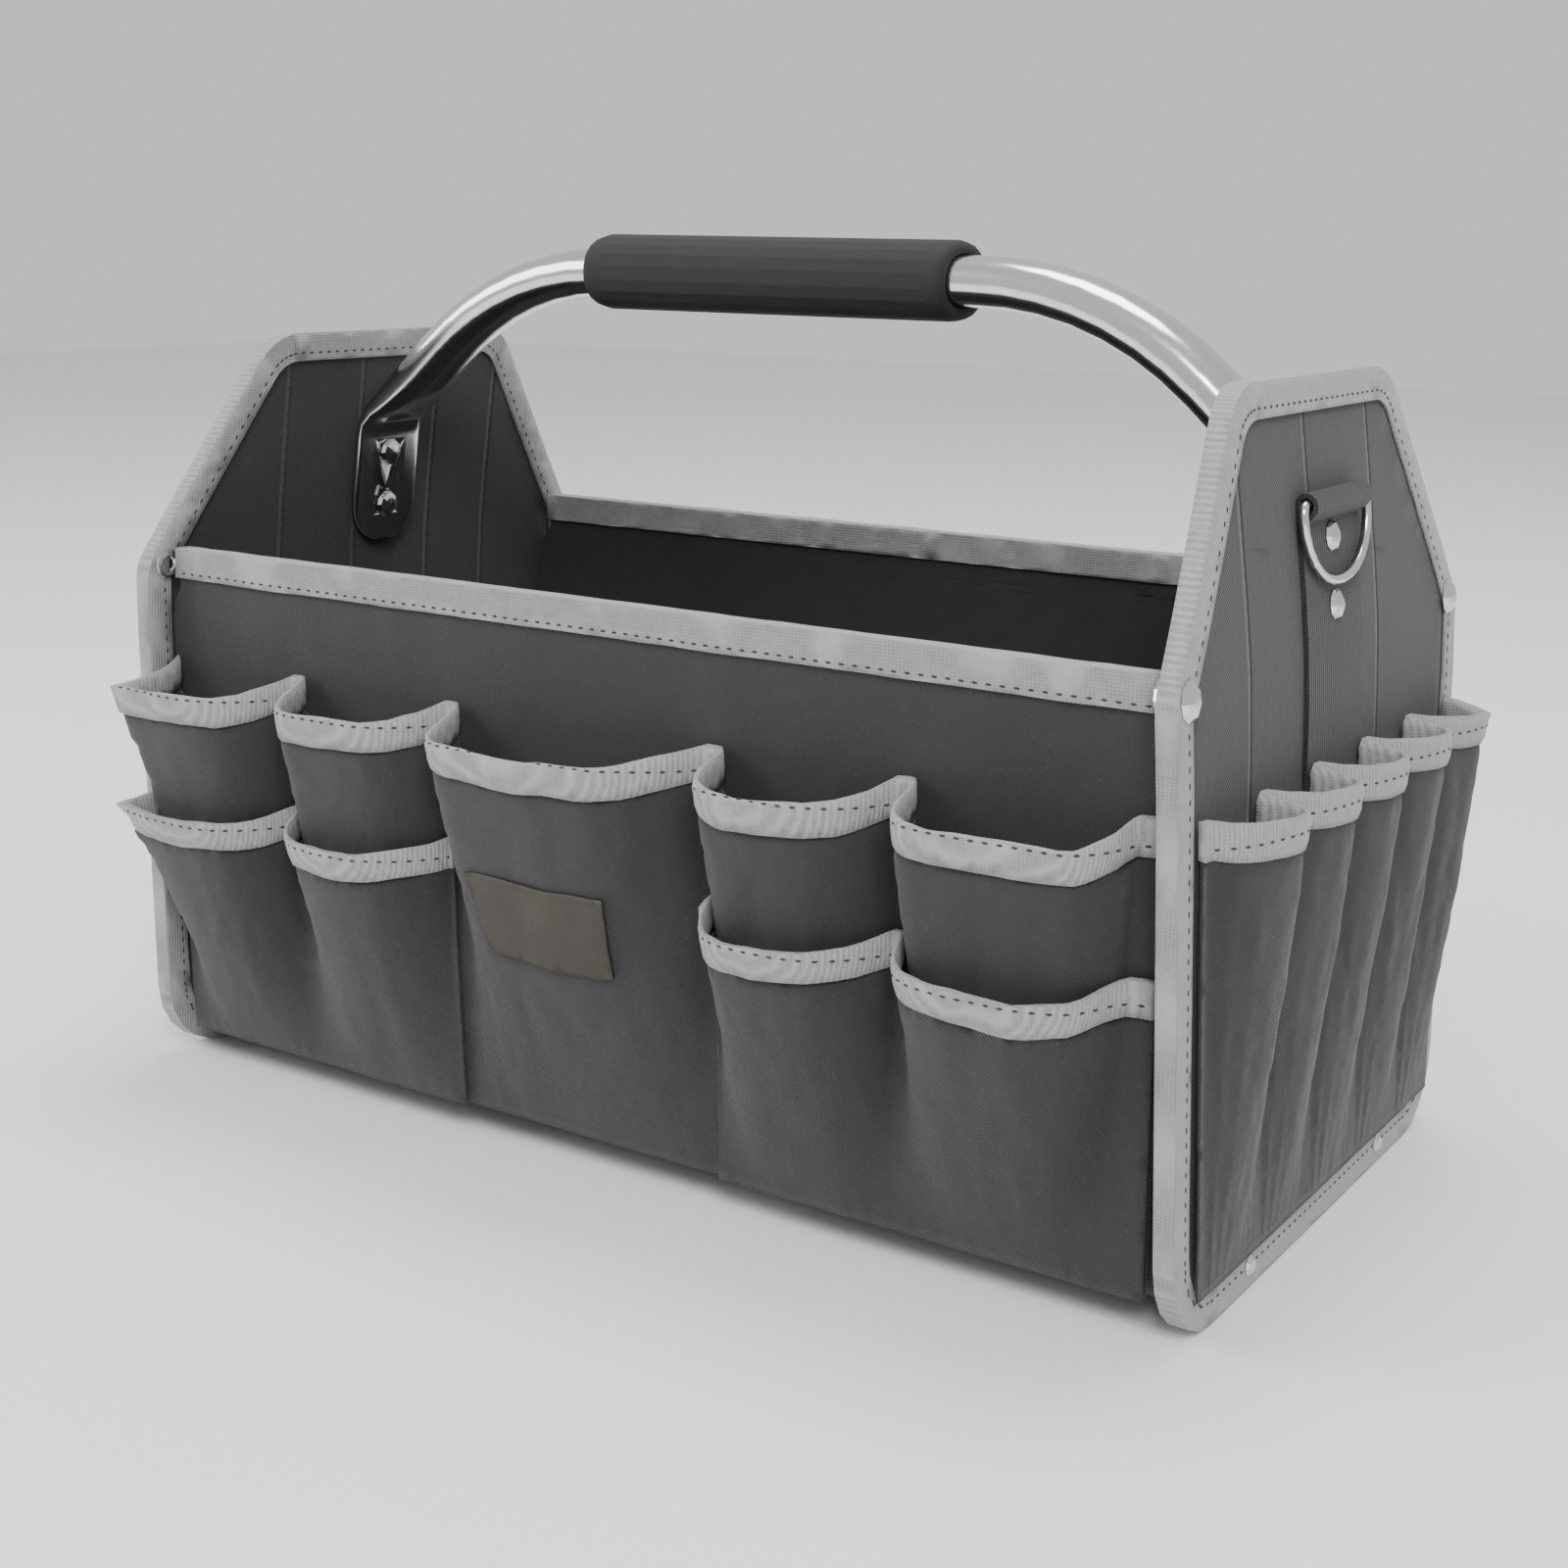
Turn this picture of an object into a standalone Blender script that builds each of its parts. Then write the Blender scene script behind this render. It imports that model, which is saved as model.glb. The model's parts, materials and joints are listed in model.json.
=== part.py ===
"""Open-top garden tool bag: fabric tote with stiffened walls, pockets all round, a riveted steel tube handle
with a foam grip, and a D-ring hinged on each end. Built in metres, +Z up, standing on z = 0."""

import math

import bpy
import numpy as np

MM = 0.001

# Driving sizes, all in millimetres ------------------------------------------------------------------
LAYER_FABRIC, LAYER_BOARD, LAYER_GAP = 0.8, 1.8, 0.3
PANEL_HALF = 2.0            # half of one fabric + board + lining sandwich
TAPE_HALF, TAPE_WALL = 3.3, 1.0
TAPE_DEPTH = 10.5           # how far a binding leg reaches in from the edge
FLANGE = 11.4               # how far the end panels stand proud of the side walls
BAG_TOP = 274.0             # top of the end panels
SHOULDER = 192.6            # where the end panels start to narrow
TOP_HALF = 63.7             # virtual half width of the flat top edge
WALL_TOP, WALL_FLOOR = 196.8, 6.0
WALL_CORNER, PANEL_CORNER = 16.0, 28.0
POCKET_LOW, POCKET_HIGH, POCKET_TAPE = 12.0, 158.5, 11.0
LOWER_HIGH = 112.0
LOWER_SLACK = 8.7            # how far the lower pockets hang off the upper ones
HANDLE_TOP, HANDLE_FLAT, HANDLE_BEND, HANDLE_ANGLE = 298.5, 77.0, 123.0, 41.5
TUBE_A, TUBE_B = 8.5, 12.5  # half height and half width of the oval handle tube
PLATE_B, PLATE_A, PLATE_LOCAL = 17.0, 1.75, -4.15
PLATE_TOP, PLATE_END = 237.0, 190.0
GRIP = (-79.3, 69.3)
GRIP_A, GRIP_B = 13.4, 17.4
RIVET_HIGH, RIVET_LOW = 225.5, 204.5
CORNER_RIVET_INSET = 8.4
STRAP_HALF, STRAP_T, STRAP_X = 24.0, 1.4, 3.0
RING_Z, RING_X, RING_WIRE = 237.0, 5.8, 1.6
RING_HALF, RING_DROP = 27.4, 24.6


def end_x(z):
    """Half length to the middle of an end panel: upright below the shoulder, leaning in above it."""
    z = np.asarray(z, float)
    return 209.2 - 0.037 * z - 0.113 * 10.0 * np.log1p(np.exp((z - 190.0) / 10.0))


def wall_y(z):
    """Half depth to the outer face of the front or back wall."""
    return 103.2 + 0.0305 * (np.asarray(z, float) - WALL_FLOOR)


# Scene helpers --------------------------------------------------------------------------------------
for old in list(bpy.data.objects):
    bpy.data.objects.remove(old, do_unlink=True)
PARTS = bpy.data.collections.new("garden_tool_bag")
CUTTERS = bpy.data.collections.new("cutters")
for made in (PARTS, CUTTERS):
    bpy.context.scene.collection.children.link(made)
CUTTERS.hide_render = True

LOOKS = {
    "fabric": ((0.012, 0.012, 0.013), 0.9, 0.0),
    "lining": ((0.016, 0.016, 0.017), 0.95, 0.0),
    "board": ((0.05, 0.05, 0.055), 0.6, 0.0),
    "tape": ((0.25, 0.25, 0.25), 0.85, 0.0),
    "webbing": ((0.015, 0.015, 0.016), 0.85, 0.0),
    "steel": ((0.7, 0.7, 0.72), 0.15, 1.0),
    "foam": ((0.01, 0.01, 0.01), 0.95, 0.0),
    "patch": ((0.018, 0.018, 0.012), 0.7, 0.0),
}


def material(name, look):
    colour, roughness, metallic = LOOKS[look]
    made = bpy.data.materials.new(name)
    made.use_nodes = True
    shader = made.node_tree.nodes["Principled BSDF"]
    shader.inputs["Base Color"].default_value = (*colour, 1.0)
    shader.inputs["Roughness"].default_value = roughness
    shader.inputs["Metallic"].default_value = metallic
    made.diffuse_color = (*colour, 1.0)
    return made


def recalculated(mesh):
    import bmesh

    work = bmesh.new()
    work.from_mesh(mesh)
    bmesh.ops.recalc_face_normals(work, faces=work.faces)
    work.to_mesh(mesh)
    work.free()


def add(name, look, points, faces, origin=(0.0, 0.0, 0.0), cutter=False):
    """One closed mesh in millimetres, with its object origin at the given point."""
    points = np.asarray(points, float).reshape(-1, 3) - np.asarray(origin, float)
    mesh = bpy.data.meshes.new(name)
    mesh.from_pydata((points * MM).tolist(), [], [list(f) for f in faces])
    mesh.update()
    recalculated(mesh)
    made = bpy.data.objects.new(name, mesh)
    made.location = [v * MM for v in origin]
    if cutter:
        made.hide_render = True
        made.display_type = "WIRE"
        CUTTERS.objects.link(made)
    else:
        mesh.materials.append(material(name, look))
        PARTS.objects.link(made)
    return made


def cut(target, *cutters):
    for cutter in cutters:
        boolean = target.modifiers.new("cut_" + cutter.name, "BOOLEAN")
        boolean.operation = "DIFFERENCE"
        boolean.solver = "EXACT"
        boolean.object = cutter


# Shape helpers --------------------------------------------------------------------------------------
def rounded(corners, radii, steps):
    """A closed or open polyline with its corners replaced by arcs; a radius of 0 keeps the corner."""
    corners = [np.asarray(c, float) for c in corners]
    count, out = len(corners), []
    for i, here in enumerate(corners):
        if not radii[i]:
            out.append(here)
            continue
        before = corners[i - 1] - here
        after = corners[(i + 1) % count] - here
        before, after = before / np.linalg.norm(before), after / np.linalg.norm(after)
        half = 0.5 * math.acos(float(np.clip(before @ after, -1, 1)))
        reach = radii[i] / math.tan(half)
        middle = before + after
        centre = here + middle / np.linalg.norm(middle) * radii[i] / math.sin(half)
        first, last = here + before * reach - centre, here + after * reach - centre
        a0 = math.atan2(first[1], first[0])
        turn = (math.atan2(last[1], last[0]) - a0 + math.pi) % (2 * math.pi) - math.pi
        for k in range(steps[i] + 1):
            a = a0 + turn * k / steps[i]
            out.append(centre + radii[i] * np.array([math.cos(a), math.sin(a)]))
    return np.array(out)


def offset(line, distance, closed=False):
    """The polyline moved to the left of its direction by a distance, with mitred corners."""
    line = np.asarray(line, float)
    step = np.roll(line, -1, 0) - line if closed else np.diff(line, axis=0)
    step = step / np.linalg.norm(step, axis=1)[:, None]
    left = np.stack([-step[:, 1], step[:, 0]], 1)
    if closed:
        before, after = np.roll(left, 1, 0), left
    else:
        before, after = np.vstack([left[:1], left]), np.vstack([left, left[-1:]])
    middle = before + after
    middle /= np.linalg.norm(middle, axis=1)[:, None]
    return line + distance * middle / np.sum(middle * after, 1)[:, None]


def slab(front, back):
    """Points and faces of the closed solid between two grids of points."""
    front, back = np.asarray(front, float), np.asarray(back, float)
    rows, cols = front.shape[:2]
    size = rows * cols
    at = lambda r, c: r * cols + c
    faces = []
    for r in range(rows - 1):
        for c in range(cols - 1):
            quad = (at(r, c), at(r, c + 1), at(r + 1, c + 1), at(r + 1, c))
            faces += [quad, tuple(size + i for i in quad[::-1])]
    rim = [at(0, c) for c in range(cols)] + [at(r, cols - 1) for r in range(1, rows)]
    rim += [at(rows - 1, c) for c in range(cols - 2, -1, -1)] + [at(r, 0) for r in range(rows - 2, 0, -1)]
    for a, b in zip(rim, rim[1:] + rim[:1]):
        faces.append((b, a, size + a, size + b))
    return np.vstack([front.reshape(-1, 3), back.reshape(-1, 3)]), faces


def swept(rings, closed=False):
    """Points and faces of a solid swept through rings of points, capped unless it closes on itself."""
    rings = np.asarray(rings, float)
    count, sides = rings.shape[:2]
    faces = []
    for i in range(count if closed else count - 1):
        j = (i + 1) % count
        for k in range(sides):
            n = (k + 1) % sides
            faces.append((i * sides + k, i * sides + n, j * sides + n, j * sides + k))
    if not closed:
        faces += [tuple(range(sides))[::-1], tuple((count - 1) * sides + k for k in range(sides))]
    return rings.reshape(-1, 3), faces


def turned(profile, y, z, side, segments=10):
    """A round fastener through an end panel, from (local x, radius) pairs that start and end at 0."""
    points, faces = [], []
    inner = profile[1:-1]
    at = lambda x, r, a: on_end(x, y + r * math.cos(a), z + r * math.sin(a), side)
    points.append(at(profile[0][0], 0, 0))
    for x, r in inner:
        points += [at(x, r, 2 * math.pi * k / segments) for k in range(segments)]
    points.append(at(profile[-1][0], 0, 0))
    last = len(points) - 1
    for k in range(segments):
        n = (k + 1) % segments
        faces.append((0, 1 + k, 1 + n))
        faces.append((last, last - segments + n, last - segments + k))
        for i in range(len(inner) - 1):
            a, b = 1 + i * segments, 1 + (i + 1) * segments
            faces.append((a + k, b + k, b + n, a + n))
    return points, faces


def on_end(local, y, z, side):
    """Points at a local distance outwards from the middle of an end panel."""
    local, y, z = np.broadcast_arrays(np.asarray(local, float), y, z)
    return np.stack([side * (end_x(z) + local), y, z], -1)


# End panels -----------------------------------------------------------------------------------------
FOOT_HALF, SHOULDER_HALF = float(wall_y(0)) + FLANGE, float(wall_y(SHOULDER)) + FLANGE
RIVET_Y = SHOULDER_HALF - CORNER_RIVET_INSET
BASE_RIVETS = ((-58.0, 7.5), (58.0, 7.5))


def panel_outline():
    """The closed outline of an end panel, anticlockwise in (y, z), with extra points along its sides."""
    up = lambda s: [(s * (FOOT_HALF + (SHOULDER_HALF - FOOT_HALF) * z / SHOULDER), z) for z in (140.0, 166.0)]
    lean = (TOP_HALF - SHOULDER_HALF) / (BAG_TOP - SHOULDER)
    over = lambda s: [(s * (SHOULDER_HALF + lean * (z - SHOULDER)), z) for z in (212.0, 232.0)]
    right = [(FOOT_HALF, 0.0)] + up(1) + [(SHOULDER_HALF, SHOULDER)] + over(1) + [(TOP_HALF, BAG_TOP)]
    left = [(-y, z) for y, z in right[::-1]]
    radii = [PANEL_CORNER, 0, 0, 16.0, 0, 0, 24.0]
    steps = [5, 0, 0, 3, 0, 0, 5]
    return rounded(right + left, radii + radii[::-1], steps + steps[::-1])


OUTLINE = panel_outline()


def panel_sheet(inset, low, high, side):
    """A flat layer of the end panel between two local distances, following the outline."""
    line = offset(OUTLINE, inset, True)
    half = line[: len(line) // 2]
    y = np.stack([-half[:, 0], half[:, 0]], 1)
    z = np.stack([half[:, 1]] * 2, 1)
    return slab(on_end(high, y, z, side), on_end(low, y, z, side))


def channel(depth, half, wall):
    """A U-shaped tape section as (inset, across) pairs, open towards the middle of the panel."""
    return [(0, -half), (0, half), (depth, half), (depth, half - wall),
            (wall, half - wall), (wall, wall - half), (depth, wall - half), (depth, -half)]


def cylinder(y, z, x0, x1, r, segments=12):
    ring = lambda x: [(x, y + r * math.cos(2 * math.pi * (k + 0.5) / segments),
                       z + r * math.sin(2 * math.pi * (k + 0.5) / segments)) for k in range(segments)]
    return swept([ring(x0), ring(x1)])


def holes(name, spots, r, side, low, high):
    """One cutter that holds a cylinder through the end panel at each spot."""
    points, faces = np.zeros((0, 3)), []
    for y, z in spots:
        x = float(end_x(z))
        more, quads = cylinder(y, z, side * (x + low), side * (x + high), r)
        faces += [tuple(i + len(points) for i in q) for q in quads]
        points = np.vstack([points, more])
    return add(name, None, points, faces, cutter=True)


def end_panel(side, tag):
    corner = holes("corner_holes_" + tag, [(RIVET_Y, SHOULDER), (-RIVET_Y, SHOULDER)], 1.7, side, -9, 9)
    grip = holes("handle_holes_" + tag, [(0, RIVET_HIGH), (0, RIVET_LOW)], 2.2, side, -9, 9)
    base = holes("base_holes_" + tag, BASE_RIVETS, 1.6, side, 1.05, 9)
    fit = PANEL_HALF - LAYER_FABRIC
    outer = add("end_outer_" + tag, "fabric", *panel_sheet(1.4, fit, PANEL_HALF, side))
    board = add("end_board_" + tag, "board", *panel_sheet(1.6, -LAYER_BOARD / 2, LAYER_BOARD / 2, side))
    inner = add("end_lining_" + tag, "lining", *panel_sheet(1.4, -PANEL_HALF, -fit, side))
    section = channel(TAPE_DEPTH, TAPE_HALF, TAPE_WALL)
    lines = {n: offset(OUTLINE, n, True) for n in {s[0] for s in section}}
    rings = np.stack([on_end(x, lines[n][:, 0], lines[n][:, 1], side) for n, x in section], 1)
    tape = add("end_binding_" + tag, "tape", *swept(rings, True))
    cut(outer, corner, grip, base)
    cut(board, corner, grip)
    cut(inner, corner, grip)
    cut(tape, corner, base)
    return grip


def rivets(side, tag):
    out, shank = TAPE_HALF + LAYER_GAP, 1.5
    dome = [(out + 2.4, 0), (out + 2.2, 2.2), (out + 1.5, 4.4), (out, 6.2)]
    ring = [(-out, 5.6), (-out - 1.4, 5.2), (-out - 1.8, 4.1), (-out - 1.5, 2.9), (-out - 0.6, 2.4), (-out - 0.6, 0)]
    for y, end in ((-RIVET_Y, "front"), (RIVET_Y, "back")):
        profile = dome + [(out, shank), (-out, shank)] + ring
        add(f"corner_rivet_{tag}_{end}", "steel", *turned(profile, y, SHOULDER, side))
    out = STRAP_X + STRAP_T / 2 + LAYER_GAP
    low = PLATE_LOCAL - PLATE_A - LAYER_GAP
    dome = [(out + 2.3, 0), (out + 2.0, 2.2), (out + 1.2, 4.0), (out, 4.9)]
    inside = [(low, 5.4), (low - 1.4, 4.5), (low - 2.3, 2.6), (low - 2.6, 0)]
    for z, end in ((RIVET_HIGH, "upper"), (RIVET_LOW, "lower")):
        add(f"handle_rivet_{tag}_{end}", "steel", *turned(dome + [(out, 2.0), (low, 2.0)] + inside, 0, z, side))
    out = TAPE_HALF + LAYER_GAP
    for (y, z), end in zip(BASE_RIVETS, ("front", "back")):
        profile = [(out + 1.5, 0), (out + 1.2, 2.0), (out, 3.4), (out, 1.4), (1.1, 1.4), (1.1, 0)]
        add(f"base_rivet_{tag}_{end}", "steel", *turned(profile, y, z, side))


# Walls ----------------------------------------------------------------------------------------------
def wall_end(z):
    """Half length of a wall layer: up to the lining, and clear of the rivets above and the binding below."""
    z = np.asarray(z)
    return end_x(z) - np.where(z > 181.0, 6.0, np.where(z < 27.0, TAPE_HALF + 0.4, PANEL_HALF + 0.4))


def wrap_path():
    top, low = float(wall_y(WALL_TOP)), float(wall_y(WALL_FLOOR))
    mid = [(-float(wall_y(z)), z) for z in (184.0, 178.0, 150.0, 28.5)]
    front = [(-top, WALL_TOP)] + mid + [(-low, WALL_FLOOR)]
    back = [(-y, z) for y, z in front[::-1]]
    radii, steps = [0, 0, 0, 0, 0, WALL_CORNER], [0, 0, 0, 0, 0, 5]
    return rounded(front + back, radii + radii[::-1], steps + steps[::-1])


def wrap_sheet(path, low, high):
    """A layer that follows the front wall, the floor and the back wall."""
    grids = []
    for distance in (low, high):
        line = offset(path, distance)
        x = wall_end(line[:, 1])
        grids.append(np.stack([np.stack([s * x, line[:, 0], line[:, 1]], 1) for s in (-1, 1)], 1))
    return slab(*grids)


def walls():
    path = wrap_path()
    step = LAYER_FABRIC + LAYER_GAP
    add("outer_wrap", "fabric", *wrap_sheet(path, 0.0, LAYER_FABRIC))
    add("lining_wrap", "lining", *wrap_sheet(path, 2 * PANEL_HALF - LAYER_FABRIC, 2 * PANEL_HALF))
    add("front_board", "board", *wrap_sheet(path[1:5], step, step + LAYER_BOARD))
    add("back_board", "board", *wrap_sheet(path[-5:-1], step, step + LAYER_BOARD))
    add("base_board", "board", *wrap_sheet(path[10:12], step, step + LAYER_BOARD))
    section = channel(11.0, TAPE_HALF, TAPE_WALL)
    for side, tag in ((-1, "front"), (1, "back")):
        ring = []
        for inset, across in section:
            z = WALL_TOP + 1.8 - inset
            ring.append((wall_y(z) - PANEL_HALF + across, z))
        rings = [[(s * (float(end_x(z)) - 6.2), side * y, z) for y, z in ring] for s in (-1, 1)]
        add("top_binding_" + tag, "tape", *swept(rings))


# Pockets --------------------------------------------------------------------------------------------
SHAPE = ((0.0, 4.0, 0.0), (0.0, 4.5, 0.45), (0.0, 5.0, 0.80), (0.02, 9.0, 0.96), (0.22, 8.0, 1.0), (0.45, 4.0, 1.0),
         (0.64, 2.0, 0.93), (0.78, 0.0, 0.74), (0.90, -1.0, 0.40), (1.0, -4.0, 0.0))
SLACK = (0.0, 0.1, 0.25, 0.7, 1.0, 1.0, 0.9, 0.6, 0.25, 0.0)  # how far a lower pocket hangs off each point
FRONT_EDGES = (-198.0, -132.7, -60.7, 47.8, 116.8, 186.0)
FRONT_BULGE = (27.0, 24.0, 28.0, 26.0, 25.0)
FRONT_ROWS, FRONT_SWELL = (POCKET_LOW, 45.0, 85.0, 120.0, POCKET_HIGH), (0.0, 0.26, 0.55, 0.78, 1.0)


def pocket(x0, x1, bulge):
    """Plan points (x when flat, x when open, swell, slack) of one pocket between two seams."""
    return [(x0 + 3.6 + (x1 - x0 - 7.2) * k / (len(SHAPE) - 1), x0 + u * (x1 - x0) + dx, bulge * h, slack)
            for k, ((u, dx, h), slack) in enumerate(zip(SHAPE, SLACK))]


def front_plan(first=0, last=5):
    """The plan of pockets first..last-1 of a long side, from its left seam to its right one."""
    plan = []
    for i in range(first, last):
        plan += pocket(FRONT_EDGES[i], FRONT_EDGES[i + 1], FRONT_BULGE[i])
    if first == 0:
        shift = (0.0, 1.0, -5.0, -13.0, -9.0, -3.0)
        plan[:6] = [(f, x + dx, h, e) for (f, x, h, e), dx in zip(plan[:6], shift)]
    if last == 5:
        fold = ((0, 0, 1.0, 1), (3.6, 3.6, 0.97, 1), (9.6, 9.9, 0.92, 0.6), (9.7, 7.2, 0.45, 0), (6.7, 4.2, 0.0, 0))
        plan[-5:] = [(f, x + a + b * 0.2, 25.0 * h, e) for (f, x, _, _), (a, b, h, e) in zip(plan[-5:], fold)]
    start = -198.6 if first == 0 else FRONT_EDGES[first] + 0.5
    end = 199.0 if last == 5 else FRONT_EDGES[last] - 0.5
    return np.array([(start, start, 0.0, 0.0)] + plan + [(end, end, 0.0, 0.0)])


def front_line(plan, z, away, slack=0.0):
    """The plan polyline at one height, moved away from the wall by a distance, as (x, swell) pairs."""
    swell = float(np.interp(z, FRONT_ROWS, FRONT_SWELL))
    line = np.stack([plan[:, 0] + (plan[:, 1] - plan[:, 0]) * swell, plan[:, 2] * swell], 1)
    more = slack * plan[:, 3] * (z - POCKET_LOW) / (LOWER_HIGH - POCKET_LOW)
    near, far = offset(line, away), offset(line, away + 1.0)
    return near + (far - near) * more[:, None]


def front_points(line, z, side):
    """Points in space for one height: the cloth drops a little where it swings away from the wall."""
    height = z - 0.3 * line[:, 1] * z / POCKET_HIGH
    depth = wall_y(height) + 1.5 + line[:, 1]
    return np.stack([line[:, 0], side * depth, height], 1)


def front_slab(plan, rows, near, far, side, slack=0.0):
    grids = [[front_points(front_line(plan, z, d, slack), z, side) for z in rows] for d in (near, far)]
    return slab(*grids)


def long_side(side, tag):
    edge = POCKET_HIGH - POCKET_TAPE
    plan = front_plan()
    rows = FRONT_ROWS[:-1] + (edge - 0.3,)
    add("pockets_" + tag, "fabric", *front_slab(plan, rows, 0.0, 0.8, side))
    add("pocket_binding_" + tag, "tape", *front_slab(plan, (edge, POCKET_HIGH), -0.75, 1.55, side))
    edge = LOWER_HIGH - POCKET_TAPE
    rows = (FRONT_ROWS[0], 30.0, 52.0, 76.0, edge - 0.3)
    for first, last, end in ((0, 2, "left"), (3, 5, "right")):
        plan = front_plan(first, last)
        name = f"{tag}_{end}"
        add("lower_pockets_" + name, "fabric", *front_slab(plan, rows, 2.6, 3.4, side, LOWER_SLACK))
        add("lower_binding_" + name, "tape", *front_slab(plan, (edge, LOWER_HIGH), 1.85, 4.15, side, LOWER_SLACK))


def name_patch():
    """A blank badge that follows the middle front pocket, placed by position along the pocket's plan."""
    plan, along = front_plan(2, 3), np.array([4.1, 5.0, 6.0, 7.0, 7.35])
    low = along.astype(int)
    part = (along - low)[:, None]
    grids = []
    for away in (1.2, 2.2):
        rows = []
        for z in (80.0, 85.0, 111.0):
            line = front_line(plan, z, away)
            rows.append(front_points(line[low] * (1 - part) + line[low + 1] * part, z, -1))
        grids.append(rows)
    add("name_patch", "patch", *slab(*grids))


END_ROWS, END_SWELL = (14.0, 60.0, 110.0, POCKET_HIGH), (0.0, 0.36, 0.72, 1.0)
END_SHAPE = ((3.0, 0.0), (10.0, 0.38), (20.0, 0.72), (32.0, 0.95), (40.0, 1.0), (44.5, 0.85), (42.0, 0.40), (38.2, 0.0))
END_BULGE, END_BASE = 15.0, 4.85


def end_line(z, away):
    swell = float(np.interp(z, END_ROWS, END_SWELL))
    reach = float(wall_y(z)) + FLANGE - TAPE_DEPTH - 1.0
    width = 2 * reach / 5
    line = []
    for i in range(5):
        flat = np.linspace(3.0, width - 3.0, len(END_SHAPE))
        for f, (y, h) in zip(flat, END_SHAPE):
            if i == 4 and y > 38.0:
                y = 38.0 + (y - 38.0) * 0.15
            line.append((-reach + i * width + f + (y * width / 41.2 - f) * swell, END_BULGE * h * swell))
    line = np.array([(-reach, 0.0)] + line + [(reach, 0.0)])
    return offset(line, away)


def end_pockets(side, tag):
    def grid(rows, away):
        found = []
        for z in rows:
            line = end_line(z, away)
            height = z - 0.25 * line[:, 1] * z / POCKET_HIGH
            found.append(on_end(END_BASE + line[:, 1], line[:, 0], height, side))
        return found

    edge = POCKET_HIGH - POCKET_TAPE
    rows = END_ROWS[:-1] + (edge - 0.3,)
    add("end_pockets_" + tag, "fabric", *slab(grid(rows, 0.0), grid(rows, 0.8)))
    rows = (edge, POCKET_HIGH)
    add("end_pocket_binding_" + tag, "tape", *slab(grid(rows, -0.75), grid(rows, 1.55)))


# Handle, strap and ring -----------------------------------------------------------------------------
def oval(a, b, power, groove, count=20):
    """An oval or flat section as (along the radius, across) pairs, with two shallow grooves on each face."""
    ring = []
    for k in range(count):
        t = 2 * math.pi * (k + 0.5) / count
        s, c = math.sin(t), math.cos(t)
        y = b * math.copysign(abs(c) ** (2 / power), c)
        r = a * math.copysign(abs(s) ** (2 / power), s)
        if 0.3 < abs(c) < 0.45:
            r *= 1.0 - groove
        ring.append((r, y))
    return ring


def handle_stations():
    """(x, z, tangent angle, half height, half width, squareness, groove) along the right half."""
    out = [(0.0, HANDLE_TOP, 0.0, TUBE_A, TUBE_B, 2.3, 0.14)]
    for k in range(8):
        a = math.radians(HANDLE_ANGLE * k / 7)
        x, z = HANDLE_FLAT + HANDLE_BEND * math.sin(a), HANDLE_TOP - HANDLE_BEND * (1 - math.cos(a))
        out.append((x, z, a, TUBE_A, TUBE_B, 2.3, 0.14))
    x1, z1, slope = out[-1][0], out[-1][1], math.radians(HANDLE_ANGLE)
    x2 = float(end_x(PLATE_TOP)) + PLATE_LOCAL
    for u, a, b, power in ((0.35, 8.3, 12.8, 2.4), (0.68, 6.6, 14.4, 2.8), (0.88, 4.0, 16.2, 3.4)):
        x = x1 + (x2 - x1) * u
        out.append((x, z1 - (x - x1) * math.tan(slope), slope, a, b, power, 0.14 * (1 - u)))
    out.append((x2 - 0.6, PLATE_TOP + 0.6, math.radians(66), 2.0, PLATE_B, 5.0, 0))
    down = math.radians(81.5)
    for z, b in ((PLATE_TOP - 4, 17.0), (231.5, 17.0), (206.0, 17.0), (200.0, 16.0), (195.5, 13.4), (192.3, 9.8), (190.6, 5.6)):
        out.append((float(end_x(z)) + PLATE_LOCAL, z, down, PLATE_A, b, 6.0, 0))
    return out


def handle(cutters):
    right = handle_stations()
    left = [(-x, z, -t, a, b, p, g) for x, z, t, a, b, p, g in right[:0:-1]]
    rings = []
    for x, z, t, a, b, power, groove in left + right:
        up = np.array([math.sin(t), 0.0, math.cos(t)])
        rings.append([np.array([x, y, z]) + r * up for r, y in oval(a, b, power, groove)])
    tube = add("handle_tube", "steel", *swept(rings))
    cut(tube, *cutters)


def foam_grip():
    low, high = GRIP
    stations = ((low, 2.4), (low + 1.0, 0.8), (low + 4.0, 0.0), (high - 4.0, 0.0), (high - 1.0, 0.8), (high, 2.4))
    place = lambda x, ring: [(x, y, HANDLE_TOP + r) for r, y in ring]
    outer = [place(x, oval(GRIP_A - d, GRIP_B - d, 2.2, 0.0)) for x, d in stations]
    inner = [place(x, oval(TUBE_A + 0.4, TUBE_B + 0.4, 2.3, 0.0)) for x, _ in stations]
    points, faces = swept(outer + inner[::-1], True)
    add("foam_grip", "foam", points, faces)


def strap(side, tag, cutter):
    """Webbing up the end panel whose top folds over the straight bar of the ring."""
    reach = RING_WIRE + 0.5 + STRAP_T / 2
    line = [(STRAP_X, 16.0), (STRAP_X, 150.0), (STRAP_X, 178.0), (STRAP_X, 196.0), (STRAP_X, 212.0), (STRAP_X, RING_Z)]
    for k in range(1, 7):
        a = math.pi * (1 - k / 6)
        line.append((RING_X + reach * math.cos(a), RING_Z + reach * math.sin(a)))
    line += [(8.3, 235.2), (7.0, 233.6), (4.9, 232.0)]
    grids = []
    for away in (STRAP_T / 2, -STRAP_T / 2):
        path = offset(line, away)
        grids.append(np.stack([on_end(path[:, 0], s * STRAP_HALF, path[:, 1], side) for s in (-1, 1)], 1))
    made = add("strap_" + tag, "webbing", *slab(*grids))
    cut(made, cutter)


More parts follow.
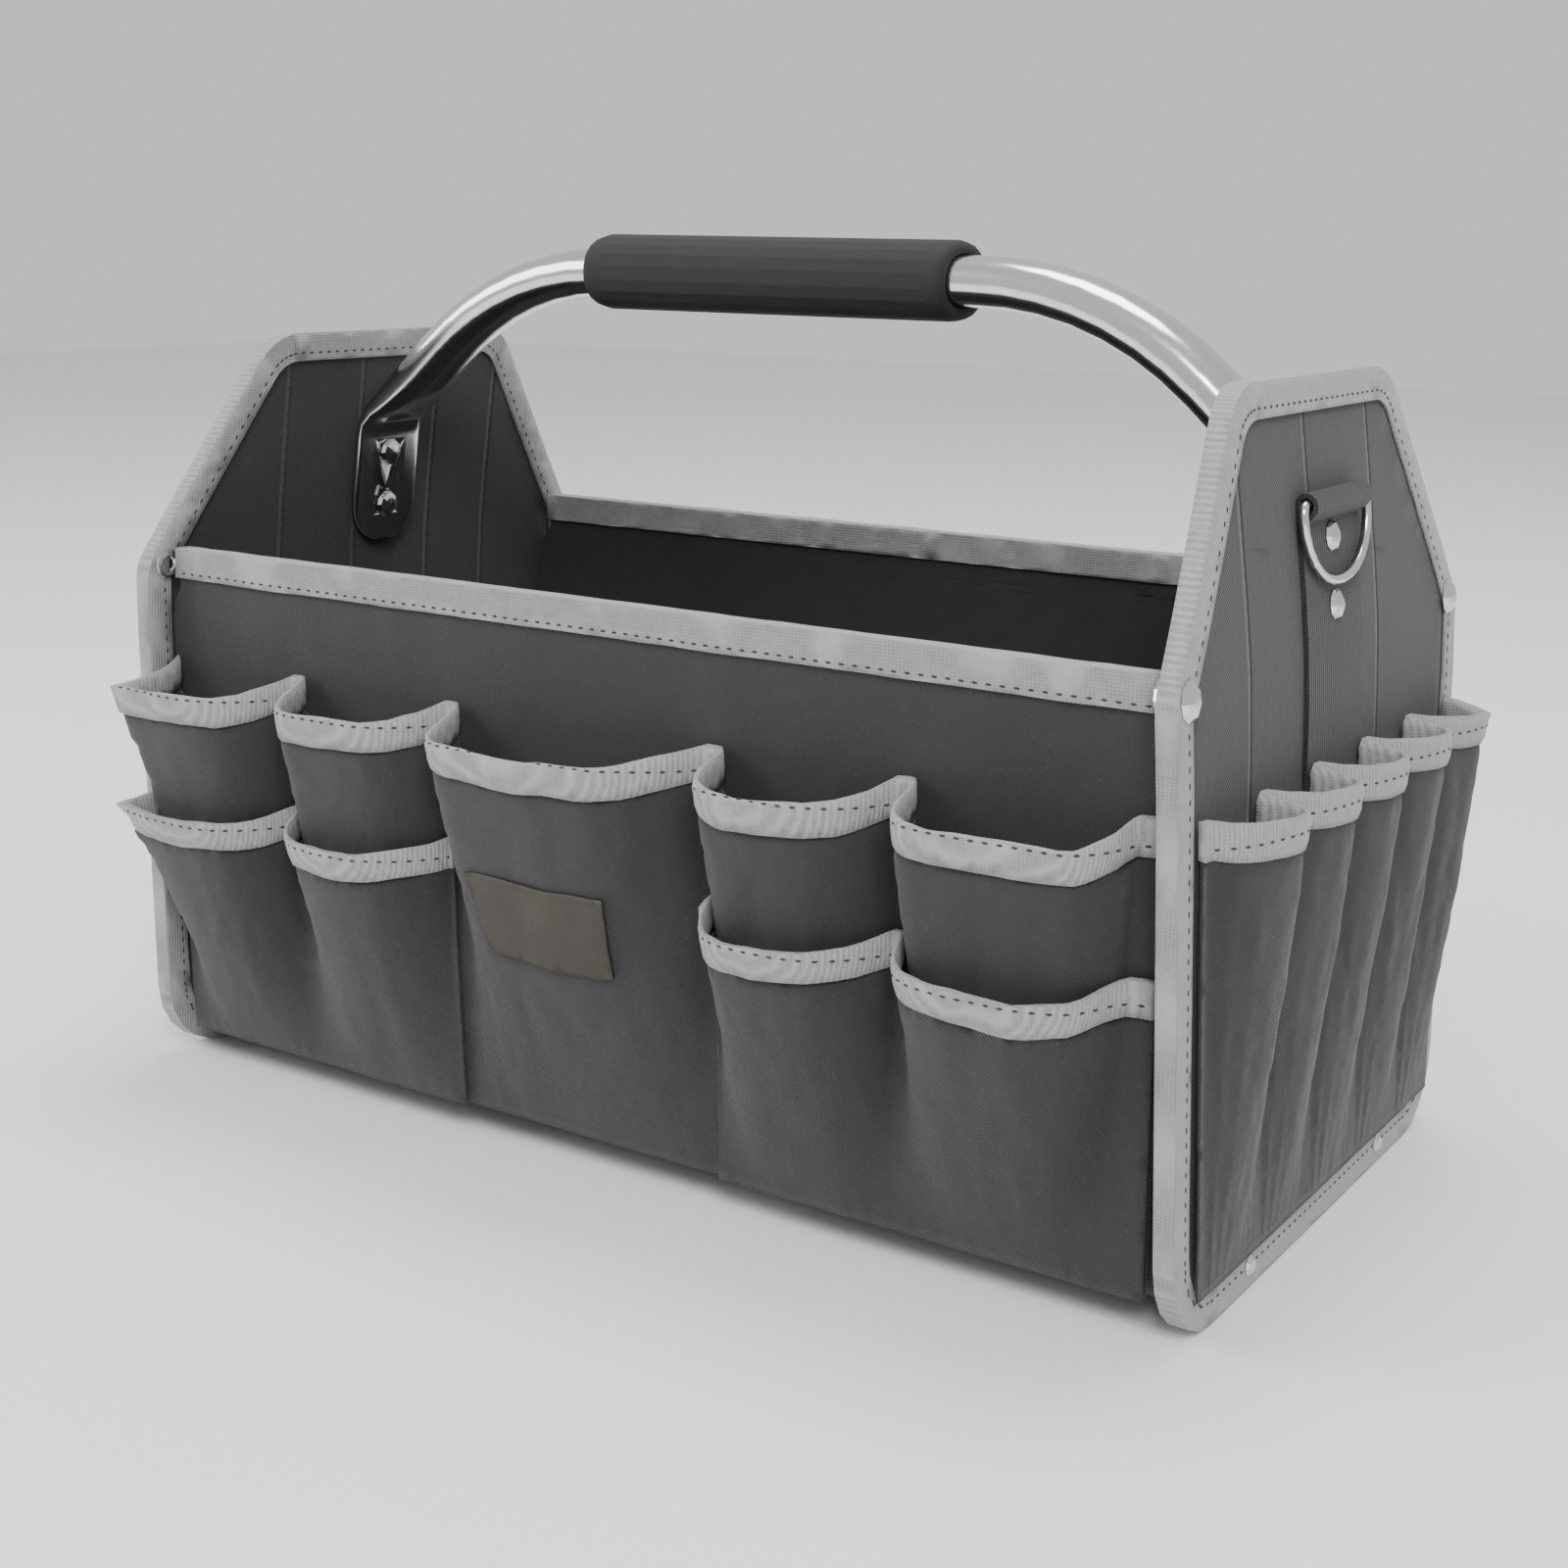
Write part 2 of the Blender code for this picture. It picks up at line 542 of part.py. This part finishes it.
def ring_path():
    """The D in the plane of the panel, as (y, z) pairs from one end of its straight bar round to it again."""
    path = [(-24.6, 0.0), (0.0, 0.0), (24.6, 0.0), (26.6, -0.9), (27.4, -3.0)]
    for k in range(1, 14):
        t = math.pi * k / 14
        y = RING_HALF * math.copysign(abs(math.cos(t)) ** 0.92, math.cos(t))
        path.append((y, -3.0 - (RING_DROP - 3.0) * math.sin(t) ** 0.95))
    return np.array(path + [(-27.4, -3.0), (-26.6, -0.9)])


def d_ring(side, tag):
    path = ring_path()
    rings = []
    for i, here in enumerate(path):
        step = path[(i + 1) % len(path)] - path[i - 1]
        step /= np.linalg.norm(step)
        ring = []
        for k in range(8):
            a = 2 * math.pi * k / 8
            y = here[0] - step[1] * RING_WIRE * math.cos(a)
            z = RING_Z + here[1] + step[0] * RING_WIRE * math.cos(a)
            ring.append(on_end(RING_X + RING_WIRE * math.sin(a), y, z, side))
        rings.append(ring)
    origin = (side * (float(end_x(RING_Z)) + RING_X), 0.0, RING_Z)
    add("d_ring_" + tag, "steel", *swept(rings, True), origin=origin)


# Assembly -------------------------------------------------------------------------------------------
walls()
plate_cutters = []
for way, word in ((-1, "left"), (1, "right")):
    through = end_panel(way, word)
    plate_cutters.append(through)
    rivets(way, word)
    end_pockets(way, word)
    strap(way, word, through)
    d_ring(way, word)
for way, word in ((-1, "front"), (1, "back")):
    long_side(way, word)
name_patch()
handle(plate_cutters)
foam_grip()
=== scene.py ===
import json
import math

import bmesh
import bpy
from mathutils import Matrix, Vector, noise

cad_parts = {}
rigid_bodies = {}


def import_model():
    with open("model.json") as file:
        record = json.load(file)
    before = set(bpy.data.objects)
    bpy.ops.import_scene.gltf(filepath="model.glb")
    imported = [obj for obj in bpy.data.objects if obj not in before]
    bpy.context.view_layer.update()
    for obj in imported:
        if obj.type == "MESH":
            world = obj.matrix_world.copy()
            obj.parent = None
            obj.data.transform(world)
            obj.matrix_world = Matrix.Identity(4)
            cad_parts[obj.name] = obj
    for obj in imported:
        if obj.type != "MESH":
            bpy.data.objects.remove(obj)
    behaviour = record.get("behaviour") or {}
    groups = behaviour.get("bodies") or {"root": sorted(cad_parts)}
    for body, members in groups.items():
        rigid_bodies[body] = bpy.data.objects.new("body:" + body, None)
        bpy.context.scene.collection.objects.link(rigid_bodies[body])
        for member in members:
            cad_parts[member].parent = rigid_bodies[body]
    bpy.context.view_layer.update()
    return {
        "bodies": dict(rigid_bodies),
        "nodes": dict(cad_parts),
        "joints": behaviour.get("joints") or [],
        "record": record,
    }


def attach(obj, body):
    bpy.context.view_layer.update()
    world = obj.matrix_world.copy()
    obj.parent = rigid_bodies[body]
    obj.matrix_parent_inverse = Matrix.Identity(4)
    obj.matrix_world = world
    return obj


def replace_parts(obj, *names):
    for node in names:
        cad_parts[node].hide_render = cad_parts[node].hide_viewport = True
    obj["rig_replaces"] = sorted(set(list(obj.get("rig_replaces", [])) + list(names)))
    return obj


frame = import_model()
NODES = frame["nodes"] if isinstance(frame, dict) else frame.nodes
LOOKS = {}


# ---------------------------------------------------------------- materials
class Look:
    """A Principled material and a few short ways to add nodes to it, all in object coordinates."""

    def __init__(self, name, roughness, metallic=0.0, sheen=0.0):
        self.mat = bpy.data.materials.new("look_" + name)
        self.mat.use_nodes = True
        self.tree = self.mat.node_tree
        self.shader = self.tree.nodes["Principled BSDF"]
        self.shader.inputs["Roughness"].default_value = roughness
        self.shader.inputs["Metallic"].default_value = metallic
        self.shader.inputs["Sheen Weight"].default_value = sheen
        self.coords = self.tree.nodes.new("ShaderNodeTexCoord").outputs["Object"]
        LOOKS[name] = self.mat

    def put(self, socket, value):
        if isinstance(value, bpy.types.NodeSocket):
            self.tree.links.new(value, socket)
        elif value is not None:
            socket.default_value = value

    def math(self, operation, a, b=None, clamp=False):
        node = self.tree.nodes.new("ShaderNodeMath")
        node.operation, node.use_clamp = operation, clamp
        self.put(node.inputs[0], a)
        self.put(node.inputs[1], b)
        return node.outputs[0]

    def wave(self, direction, period, distortion=0.0):
        node = self.tree.nodes.new("ShaderNodeTexWave")
        node.bands_direction = direction
        self.put(node.inputs["Vector"], self.coords)
        turns = 0.6283 if direction == "DIAGONAL" else 0.31416
        node.inputs["Scale"].default_value = turns / period
        node.inputs["Distortion"].default_value = distortion
        return node.outputs["Fac"]

    def noise(self, scale, detail=3.0, stretch=None):
        node = self.tree.nodes.new("ShaderNodeTexNoise")
        vector = self.coords
        if stretch:
            mapping = self.tree.nodes.new("ShaderNodeMapping")
            mapping.inputs["Scale"].default_value = stretch
            self.put(mapping.inputs["Vector"], vector)
            vector = mapping.outputs[0]
        self.put(node.inputs["Vector"], vector)
        node.inputs["Scale"].default_value = scale
        node.inputs["Detail"].default_value = detail
        return node.outputs["Fac"]

    def colour(self, factor, low, high):
        node = self.tree.nodes.new("ShaderNodeMix")
        node.data_type = "RGBA"
        self.put(node.inputs["Factor"], factor)
        for socket, value in ((node.inputs[6], low), (node.inputs[7], high)):
            self.put(socket, (*value, 1.0) if isinstance(value, tuple) else value)
        return node.outputs[2]

    def finish(self, colour, height, depth, rough=None):
        self.put(self.shader.inputs["Base Color"], colour)
        bump = self.tree.nodes.new("ShaderNodeBump")
        bump.inputs["Distance"].default_value = depth
        bump.inputs["Strength"].default_value = 0.6
        self.put(bump.inputs["Height"], height)
        self.put(self.shader.inputs["Normal"], bump.outputs[0])
        if rough is not None:
            self.put(self.shader.inputs["Roughness"], rough)

    def span(self, factor, low, high):
        return self.math("ADD", self.math("MULTIPLY", factor, high - low), low)


def cloth(name, low, high, period, worn, sheen=0.15):
    look = Look(name, 0.8, sheen=sheen)
    twill = look.wave("DIAGONAL", period, 0.4)
    patchy = look.noise(35.0, 5.0)
    mixed = look.math("ADD", look.math("MULTIPLY", twill, 0.55), look.math("MULTIPLY", patchy, 0.45))
    lint = look.math("MULTIPLY", look.math("SUBTRACT", look.noise(900.0, 2.0), 0.66, True), 5.0, True)
    colour = look.colour(lint, look.colour(mixed, low, high), worn)
    height = look.math("ADD", twill, look.noise(260.0, 3.0))
    return look, colour, height, look.span(patchy, 0.68, 0.9)


def plain_cloth(name, *args, **more):
    look, colour, height, rough = cloth(name, *args, **more)
    look.finish(colour, height, 0.0003, rough)


def channelled(name, low, high, worn, lines):
    """The end panels: the same cloth with upright stitched channels at these depths, each channel darkened with
    painted shade.
    """
    look, colour, height, rough = cloth(name, low, high, 0.0013, worn)
    xyz = look.tree.nodes.new("ShaderNodeSeparateXYZ")
    look.put(xyz.inputs[0], look.coords)
    total = None
    for y in lines:
        far = look.math("ABSOLUTE", look.math("SUBTRACT", xyz.outputs["Y"], y))
        near = look.math("SUBTRACT", 1.0, look.math("DIVIDE", far, 0.0016), True)
        total = near if total is None else look.math("ADD", total, near)
    stitch = look.math("GREATER_THAN", look.wave("Z", 0.0046), 0.35)
    thread = look.math("MULTIPLY", look.math("GREATER_THAN", total, 0.72), stitch)
    # Painted shade: the colour darkens towards near-black along each channel line, standing in for shade in the
    # stitched groove.
    colour = look.colour(look.math("MULTIPLY", total, 0.6), colour, (0.004, 0.004, 0.004))
    colour = look.colour(thread, colour, (0.03, 0.03, 0.032))
    height = look.math("SUBTRACT", height, look.math("MULTIPLY", total, 4.0))
    look.finish(colour, look.math("ADD", height, look.math("MULTIPLY", thread, 2.0)), 0.0004, rough)


def ribbed(name, low, high, period, sheen):
    look = Look(name, 0.7, sheen=sheen)
    ribs = look.math("MULTIPLY", look.wave("X", period), look.wave("Z", period * 0.8))
    cross = look.math("MAXIMUM", ribs, look.wave("Y", period))
    fuzz = look.noise(420.0, 4.0)
    mixed = look.math("ADD", look.math("MULTIPLY", cross, 0.5), look.math("MULTIPLY", fuzz, 0.5))
    look.finish(look.colour(mixed, low, high), look.math("ADD", cross, fuzz), 0.0003, look.span(fuzz, 0.6, 0.85))


def metal(name, low, high, r0, r1):
    look = Look(name, 0.2, metallic=1.0)
    scratch = look.noise(60.0, 6.0, (1.0, 6.0, 6.0))
    smudge = look.noise(22.0, 4.0)
    look.finish(look.colour(smudge, low, high), scratch, 0.00004, look.span(scratch, r0, r1))


def foam():
    look = Look("foam", 0.85)
    pores, broad = look.noise(1500.0, 3.0), look.noise(40.0, 3.0)
    look.finish(look.colour(broad, (0.008, 0.008, 0.009), (0.02, 0.02, 0.021)), pores, 0.0003, look.span(broad, 0.75, 0.92))


def patch():
    look = Look("patch", 0.5)
    grain, broad = look.noise(800.0, 4.0), look.noise(60.0, 4.0)
    look.finish(look.colour(broad, (0.018, 0.015, 0.010), (0.040, 0.034, 0.024)), grain, 0.00015, look.span(grain, 0.4, 0.65))


plain_cloth("fabric", (0.007, 0.007, 0.008), (0.024, 0.024, 0.026), 0.0013, (0.05, 0.05, 0.052))
plain_cloth("lining", (0.006, 0.006, 0.007), (0.018, 0.018, 0.020), 0.0010, (0.04, 0.04, 0.042))
plain_cloth("board", (0.01, 0.01, 0.01), (0.02, 0.02, 0.02), 0.002, (0.03, 0.03, 0.03))
channelled("panel_in", (0.007, 0.007, 0.008), (0.022, 0.022, 0.024), (0.05, 0.05, 0.052), (-0.054, -0.014, 0.029, 0.064))
channelled("panel_out", (0.007, 0.007, 0.008), (0.022, 0.022, 0.024), (0.05, 0.05, 0.052), (-0.066, -0.013, 0.042))
ribbed("tape", (0.16, 0.16, 0.165), (0.36, 0.36, 0.37), 0.0013, 0.2)
ribbed("webbing", (0.006, 0.006, 0.007), (0.026, 0.026, 0.028), 0.0017, 0.1)
ribbed("thread", (0.008, 0.008, 0.008), (0.03, 0.03, 0.03), 0.0006, 0.1)
ribbed("pale_thread", (0.42, 0.42, 0.43), (0.62, 0.62, 0.63), 0.0006, 0.1)
metal("steel", (0.60, 0.60, 0.61), (0.74, 0.74, 0.75), 0.10, 0.24)
foam()
patch()


# ---------------------------------------------------------------- shapes
def clamp(value):
    return max(0.0, min(1.0, value))


def crumple(p):
    """How far sewn cloth at p strays from the flat pattern, the same for every layer there."""
    folds = noise.noise(Vector((p.x * 42, p.y * 42, p.z * 11)))
    small = noise.noise(Vector((p.x * 120, p.y * 120, p.z * 95 + 7)))
    size = 0.0016 * folds + 0.0005 * small
    if abs(p.x) > 0.2115:
        out = clamp((abs(p.x) - 0.2115) / 0.006)
        return Vector((math.copysign(size * out, p.x), 0.0, 0.4 * size * out))
    out = clamp((0.2 - abs(p.x)) / 0.02) * clamp((abs(p.y) - 0.09) / 0.008) * clamp(p.z / 0.03)
    off_wall = clamp((abs(p.y) - 0.108) / 0.01)
    return Vector((0.0, math.copysign(size * out, p.y), 0.9 * size * out * off_wall))


def rebuilt(node, name, look, body, edge=None, smooth=0, angle=40, soft=False):
    """A finer copy of a CAD node that stands for it."""
    source = NODES[node]
    work = bmesh.new()
    work.from_mesh(source.data)
    work.transform(source.matrix_world)
    bmesh.ops.remove_doubles(work, verts=work.verts, dist=1e-6)
    for _ in range(6 if edge else 0):
        long = [e for e in work.edges if e.calc_length() > edge]
        if not long:
            break
        bmesh.ops.subdivide_edges(work, edges=long, cuts=1)
        bmesh.ops.triangulate(work, faces=[f for f in work.faces if len(f.verts) > 3])
    axis = 1 if abs(sum(v.co.x for v in work.verts) / len(work.verts)) > 0.15 else 0
    ends = [f(v.co[axis] for v in work.verts) for f in (min, max)]
    loose = [v for v in work.verts if ends[0] + 0.002 < v.co[axis] < ends[1] - 0.002 and v.co.z > 0.02]
    for _ in range(smooth):
        bmesh.ops.smooth_vert(work, verts=loose, factor=0.5, use_axis_x=True, use_axis_y=True, use_axis_z=False)
    if soft:
        for v in work.verts:
            v.co += crumple(v.co)
    bmesh.ops.recalc_face_normals(work, faces=work.faces)
    mesh = bpy.data.meshes.new(name)
    work.to_mesh(mesh)
    work.free()
    mesh.shade_smooth()
    mesh.set_sharp_from_angle(angle=math.radians(angle))
    obj = bpy.data.objects.new(name, mesh)
    bpy.context.scene.collection.objects.link(obj)
    obj.data.materials.append(LOOKS[look])
    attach(obj, body)
    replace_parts(obj, node)
    return obj


def beads(name, look, spots, length=0.0023, width=0.0009):
    """Short stitches in one mesh: spots holds (point, along, outwards)."""
    work = bmesh.new()
    for point, along, out in spots:
        side = along.cross(out).normalized()
        turn = Matrix((side, along, out)).transposed().to_4x4()
        ball = bmesh.ops.create_icosphere(work, subdivisions=1, radius=0.5)["verts"]
        scale = Matrix.Diagonal((width, length, width * 0.7, 1.0))
        bmesh.ops.transform(work, matrix=Matrix.Translation(point) @ turn @ scale, verts=ball)
    mesh = bpy.data.meshes.new(name)
    work.to_mesh(mesh)
    work.free()
    mesh.shade_smooth()
    obj = bpy.data.objects.new(name, mesh)
    bpy.context.scene.collection.objects.link(obj)
    obj.data.materials.append(LOOKS[look])
    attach(obj, "bag")
    return obj


def hits(obj, starts, direction):
    """Where rays from these starts meet the piece, as (point, normal)."""
    found = []
    for start in starts:
        ok, point, normal, _ = obj.ray_cast(start, direction)
        found.append((point.copy(), normal.copy()) if ok else None)
    return found


def spaced(found, pitch, jump=0.006):
    """Stitch places at this pitch along a run of ray hits."""
    spots, run, last = [], 0.0, None
    for hit in found:
        if hit is None:
            last = None
            continue
        if last is not None:
            step = hit[0] - last[0]
            if step.length > jump:
                last, run = hit, 0.0
                continue
            run += step.length
            if run >= pitch and step.length > 1e-7:
                run = 0.0
                along = step.normalized()
                out = (hit[1] - along * hit[1].dot(along)).normalized()
                spots.append((hit[0], along, out))
        last = hit
    return spots


def hem(obj, side, z, pitch=0.0045):
    starts = [Vector((-0.215 + 0.0005 * i, side * 0.4, z)) for i in range(861)]
    return spaced(hits(obj, starts, Vector((0, -side, 0))), pitch)


def end_hem(obj, side, z, pitch=0.0045):
    starts = [Vector((side * 0.4, -0.14 + 0.0005 * i, z)) for i in range(561)]
    return spaced(hits(obj, starts, Vector((-side, 0, 0))), pitch)


def upright(obj, side, x, z0, z1, pitch=0.004):
    starts = [Vector((x, side * 0.4, z0 + 0.0005 * i)) for i in range(int((z1 - z0) / 0.0005))]
    return spaced(hits(obj, starts, Vector((0, -side, 0))), pitch)


def hull_run(obj, inset, count=2400):
    """Points along the end panel's outline, this far inside its edge, as (y, z)."""
    flat = sorted({(round(v.co.y, 5), round(v.co.z, 5)) for v in obj.data.vertices})
    hull = []
    for points in (flat, flat[::-1]):
        part = []
        for p in points:
            while len(part) > 1 and (part[-1][0] - part[-2][0]) * (p[1] - part[-2][1]) - (
                part[-1][1] - part[-2][1]
            ) * (p[0] - part[-2][0]) <= 0:
                part.pop()
            part.append(p)
        hull += part[:-1]
    hull.append(hull[0])
    centre = Vector((0.0, 0.135))
    run = []
    total = sum((Vector(b) - Vector(a)).length for a, b in zip(hull, hull[1:]))
    for a, b in zip(hull, hull[1:]):
        a, b = Vector(a), Vector(b)
        length = (b - a).length
        inward = Vector((-(b - a).y, (b - a).x)).normalized() if length else Vector((0, 0))
        if inward.dot(centre - a) < 0:
            inward = -inward
        for i in range(max(1, int(count * length / total))):
            q = a.lerp(b, i / max(1, int(count * length / total)))
            run.append(q + inward * inset)
    return run


made = {}
for tag, side in (("front", -1), ("back", 1)):
    for node, look in (("pockets_", "fabric"), ("pocket_binding_", "tape")):
        made[node + tag] = rebuilt(node + tag, "soft_" + node + tag, look, "bag", 0.006, 5, 50, True)
    for end in ("left", "right"):
        for node, look in (("lower_pockets_", "fabric"), ("lower_binding_", "tape")):
            name = f"{node}{tag}_{end}"
            made[name] = rebuilt(name, "soft_" + name, look, "bag", 0.006, 5, 50, True)
    made["top_binding_" + tag] = rebuilt("top_binding_" + tag, "soft_top_binding_" + tag, "tape", "bag", 0.008, 1, 50, True)
for end, side in (("left", -1), ("right", 1)):
    made["end_pockets_" + end] = rebuilt("end_pockets_" + end, "soft_end_pockets_" + end, "fabric", "bag", 0.005, 3, 50, True)
    made["end_pocket_binding_" + end] = rebuilt("end_pocket_binding_" + end, "soft_end_pocket_binding_" + end, "tape", "bag", 0.005, 3, 50, True)
    made["end_binding_" + end] = rebuilt("end_binding_" + end, "soft_end_binding_" + end, "tape", "bag", 0.012, 0, 40)
    for node, look in (("end_outer_", "panel_out"), ("end_lining_", "panel_in"), ("strap_", "webbing")):
        made[node + end] = rebuilt(node + end, "fine_" + node + end, look, "bag", 0.02 if "end" in node else None)
    made["ring_" + end] = rebuilt("d_ring_" + end, "fine_d_ring_" + end, "steel", "ring_" + end, None, 0, 70)
made["wrap"] = rebuilt("outer_wrap", "soft_outer_wrap", "fabric", "bag", 0.010, 1, 40, True)
made["lining"] = rebuilt("lining_wrap", "soft_lining_wrap", "lining", "bag", 0.012, 1, 40, True)
made["tube"] = rebuilt("handle_tube", "fine_handle_tube", "steel", "bag", None, 0, 55)
made["grip"] = rebuilt("foam_grip", "soft_foam_grip", "foam", "bag", 0.008, 0, 60)
made["patch"] = rebuilt("name_patch", "soft_name_patch", "patch", "bag", 0.005, 2, 40, True)
for key, obj in made.items():
    first = obj.get("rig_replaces", [""])[0]

for name, obj in NODES.items():
    if not obj.hide_render:
        look = "steel" if "rivet" in name else "board"
        obj.data.materials.clear()
        obj.data.materials.append(LOOKS[look])


# ---------------------------------------------------------------- stitching
for tag, side in (("front", -1), ("back", 1)):
    spots = hem(made["pocket_binding_" + tag], side, 0.1502)
    beads(f"stitch_pockets_{tag}", "thread", spots)
    spots = []
    for end in ("left", "right"):
        spots += hem(made[f"lower_binding_{tag}_{end}"], side, 0.1040)
    beads(f"stitch_lower_{tag}", "thread", spots)
    spots = hem(made["top_binding_" + tag], side, 0.1895)
    if spots:
        beads(f"stitch_top_{tag}", "thread", spots)
    spots = []
    for x in (-0.1327, -0.0607, 0.0478, 0.1168):
        spots += upright(made["pockets_" + tag], side, x, 0.014, 0.144)
    beads(f"stitch_seams_{tag}", "thread", spots, 0.0021, 0.0006)
for end, side in (("left", -1), ("right", 1)):
    binding = made["end_binding_" + end]
    spots = end_hem(made["end_pocket_binding_" + end], side, 0.1502)
    beads("stitch_end_pockets_" + end, "thread", spots)
    spots = []
    for face in (-1, 1):
        starts = [Vector((face * 0.4 if face == side else 0.0, q[0], q[1])) for q in hull_run(binding, 0.0075)]
        away = Vector((-side, 0, 0)) if face == side else Vector((side, 0, 0))
        spots += spaced(hits(binding, starts, away), 0.0045)
    beads("stitch_ends_" + end, "thread", spots)


# ---------------------------------------------------------------- floor, light, camera
floor_mesh = bpy.data.meshes.new("floor")
floor_mesh.from_pydata([(-4, -4, -0.0004), (4, -4, -0.0004), (4, 4, -0.0004), (-4, 4, -0.0004)], [], [(0, 1, 2, 3)])
floor = bpy.data.objects.new("floor", floor_mesh)
bpy.context.scene.collection.objects.link(floor)
ground = bpy.data.materials.new("floor")
ground.use_nodes = True
ground.node_tree.nodes["Principled BSDF"].inputs["Base Color"].default_value = (0.86, 0.86, 0.86, 1)
ground.node_tree.nodes["Principled BSDF"].inputs["Roughness"].default_value = 0.9
floor_mesh.materials.append(ground)


def lamp(name, place, aim, size, power):
    data = bpy.data.lights.new(name, "AREA")
    data.shape, data.size, data.energy = "DISK", size, power
    obj = bpy.data.objects.new(name, data)
    bpy.context.scene.collection.objects.link(obj)
    obj.location = place
    obj.rotation_euler = (Vector(aim) - Vector(place)).to_track_quat("-Z", "Y").to_euler()


lamp("key", (1.1, -1.5, 1.7), (0, 0, 0.12), 1.0, 42)
lamp("fill", (-1.7, -1.2, 1.2), (0, 0, 0.12), 1.4, 26)
lamp("top", (0.0, 0.5, 2.1), (0, 0, 0.1), 1.2, 30)
world = bpy.data.worlds.new("studio")
world.use_nodes = True
world.node_tree.nodes["Background"].inputs["Color"].default_value = (1, 1, 1, 1)
world.node_tree.nodes["Background"].inputs["Strength"].default_value = 0.75
bpy.context.scene.world = world

yaw, pitch, roll = (math.radians(a) for a in (33.55, 14.19, 0.75))
back = Vector((math.sin(yaw) * math.cos(pitch), -math.cos(yaw) * math.cos(pitch), math.sin(pitch)))
right = (-back).cross(Vector((0, 0, 1))).normalized()
up = right.cross(-back)
right, up = right * math.cos(roll) + up * math.sin(roll), up * math.cos(roll) - right * math.sin(roll)
lens = bpy.data.cameras.new("camera")
lens.lens, lens.sensor_width, lens.clip_start = 51.15, 36.0, 0.01
lens.shift_x, lens.shift_y = 0.0066, 0.0024
camera = bpy.data.objects.new("camera", lens)
bpy.context.scene.collection.objects.link(camera)
camera.matrix_world = Matrix.Translation((0.4363, -0.6638, 0.3159)) @ Matrix((right, up, back)).transposed().to_4x4()
bpy.context.scene.camera = camera

bpy.context.view_layer.update()
